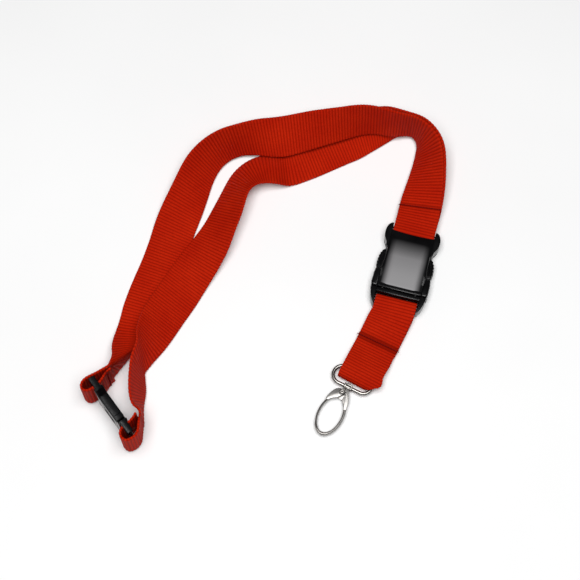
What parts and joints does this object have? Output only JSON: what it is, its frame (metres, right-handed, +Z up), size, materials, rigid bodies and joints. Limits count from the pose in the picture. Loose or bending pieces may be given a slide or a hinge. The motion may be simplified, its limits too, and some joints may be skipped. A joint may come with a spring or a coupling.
{
  "type": "lanyard",
  "caption": "Woven neck lanyard with a side-release buckle, a short sewn loop carrying a ring and an oval swivel hook, and a breakaway clip joining its ends.",
  "frame": {"origin": "middle of the object's footprint, on the surface it lies on", "axes": "+Z up from that surface; +X to the viewer's right and +Y away from the viewer, who faces the lanyard laid out as in use for display"},
  "size_m": [0.2128, 0.212, 0.0325],
  "materials": {
    "webbing": "cross-ribbed polyester webbing, slight sheen",
    "thread": "dark red sewing thread",
    "black_plastic": "moulded black acetal, satin with faint flow marks",
    "nickel": "nickel-plated zinc casting, polished and lightly worn",
    "spring_steel": "bare spring wire"
  },
  "bodies": {
    "neck": {"neck_webbing_left": "webbing", "neck_webbing_right": "webbing", "buckle_seam_stitches": "thread", "left_loop_stitches": "thread", "breakaway_socket": "black_plastic"},
    "socket": {"buckle_socket": "black_plastic"},
    "plug": {"buckle_plug": "black_plastic"},
    "arm_left": {"release_arm_left": "black_plastic"},
    "arm_right": {"release_arm_right": "black_plastic"},
    "short_loop": {"short_webbing_loop": "webbing", "short_loop_stitches": "thread"},
    "ring": {"strap_ring": "nickel"},
    "hook": {"swivel_post": "nickel", "hook_body": "nickel", "gate_pin": "nickel", "gate_spring": "spring_steel"},
    "gate": {"hook_gate": "nickel"},
    "clip_plug": {"breakaway_plug": "black_plastic", "neck_webbing_clip_end": "webbing", "right_loop_stitches": "thread"}
  },
  "joints": [
    {"name": "socket_on_neck_strap", "type": "hinge", "parent": "neck", "child": "socket", "pos_m": [0.08662, 0.02704, 0.00553], "axis": [-0.9659, 0.2588, 0], "range_deg": [0, 10]},
    {"name": "buckle_release", "type": "slide", "parent": "socket", "child": "plug", "axis": [-0.2588, -0.9659, 0], "range_m": [0, 0.04], "deforming": ["release_arm_left", "release_arm_right"]},
    {"name": "release_arm_left_press", "type": "hinge", "parent": "plug", "child": "arm_left", "pos_m": [0.0669, -0.00795, 0.00553], "axis": [0, 0, -1], "range_deg": [0, 8], "stiffness_Nm_per_rad": 0.05, "deforming": ["release_arm_left"]},
    {"name": "release_arm_right_press", "type": "hinge", "parent": "plug", "child": "arm_right", "pos_m": [0.08622, -0.01312, 0.00553], "axis": [0, 0, 1], "range_deg": [0, 8], "stiffness_Nm_per_rad": 0.05, "deforming": ["release_arm_right"]},
    {"name": "short_loop_swing", "type": "hinge", "parent": "plug", "child": "short_loop", "pos_m": [0.07475, -0.0173, 0.00553], "axis": [-0.9659, 0.2588, 0], "range_deg": [0, 20]},
    {"name": "ring_swing", "type": "hinge", "parent": "short_loop", "child": "ring", "pos_m": [0.04952, -0.05766, 0.00373], "axis": [-0.891, 0.454, 0], "range_deg": [0, 8]},
    {"name": "hook_swivel", "type": "hinge", "parent": "ring", "child": "hook", "pos_m": [0.04595, -0.06819, 0.00373], "axis": [-0.454, -0.891, 0], "continuous": true},
    {"name": "gate_open", "type": "hinge", "parent": "hook", "child": "gate", "pos_m": [0.04253, -0.07138, 0.00373], "axis": [0, 0, 1], "range_deg": [0, 20], "stiffness_Nm_per_rad": 0.002},
    {"name": "breakaway_release", "type": "slide", "parent": "neck", "child": "clip_plug", "axis": [0.5948, -0.8039, 0], "range_m": [0, 0.016]}
  ]
}
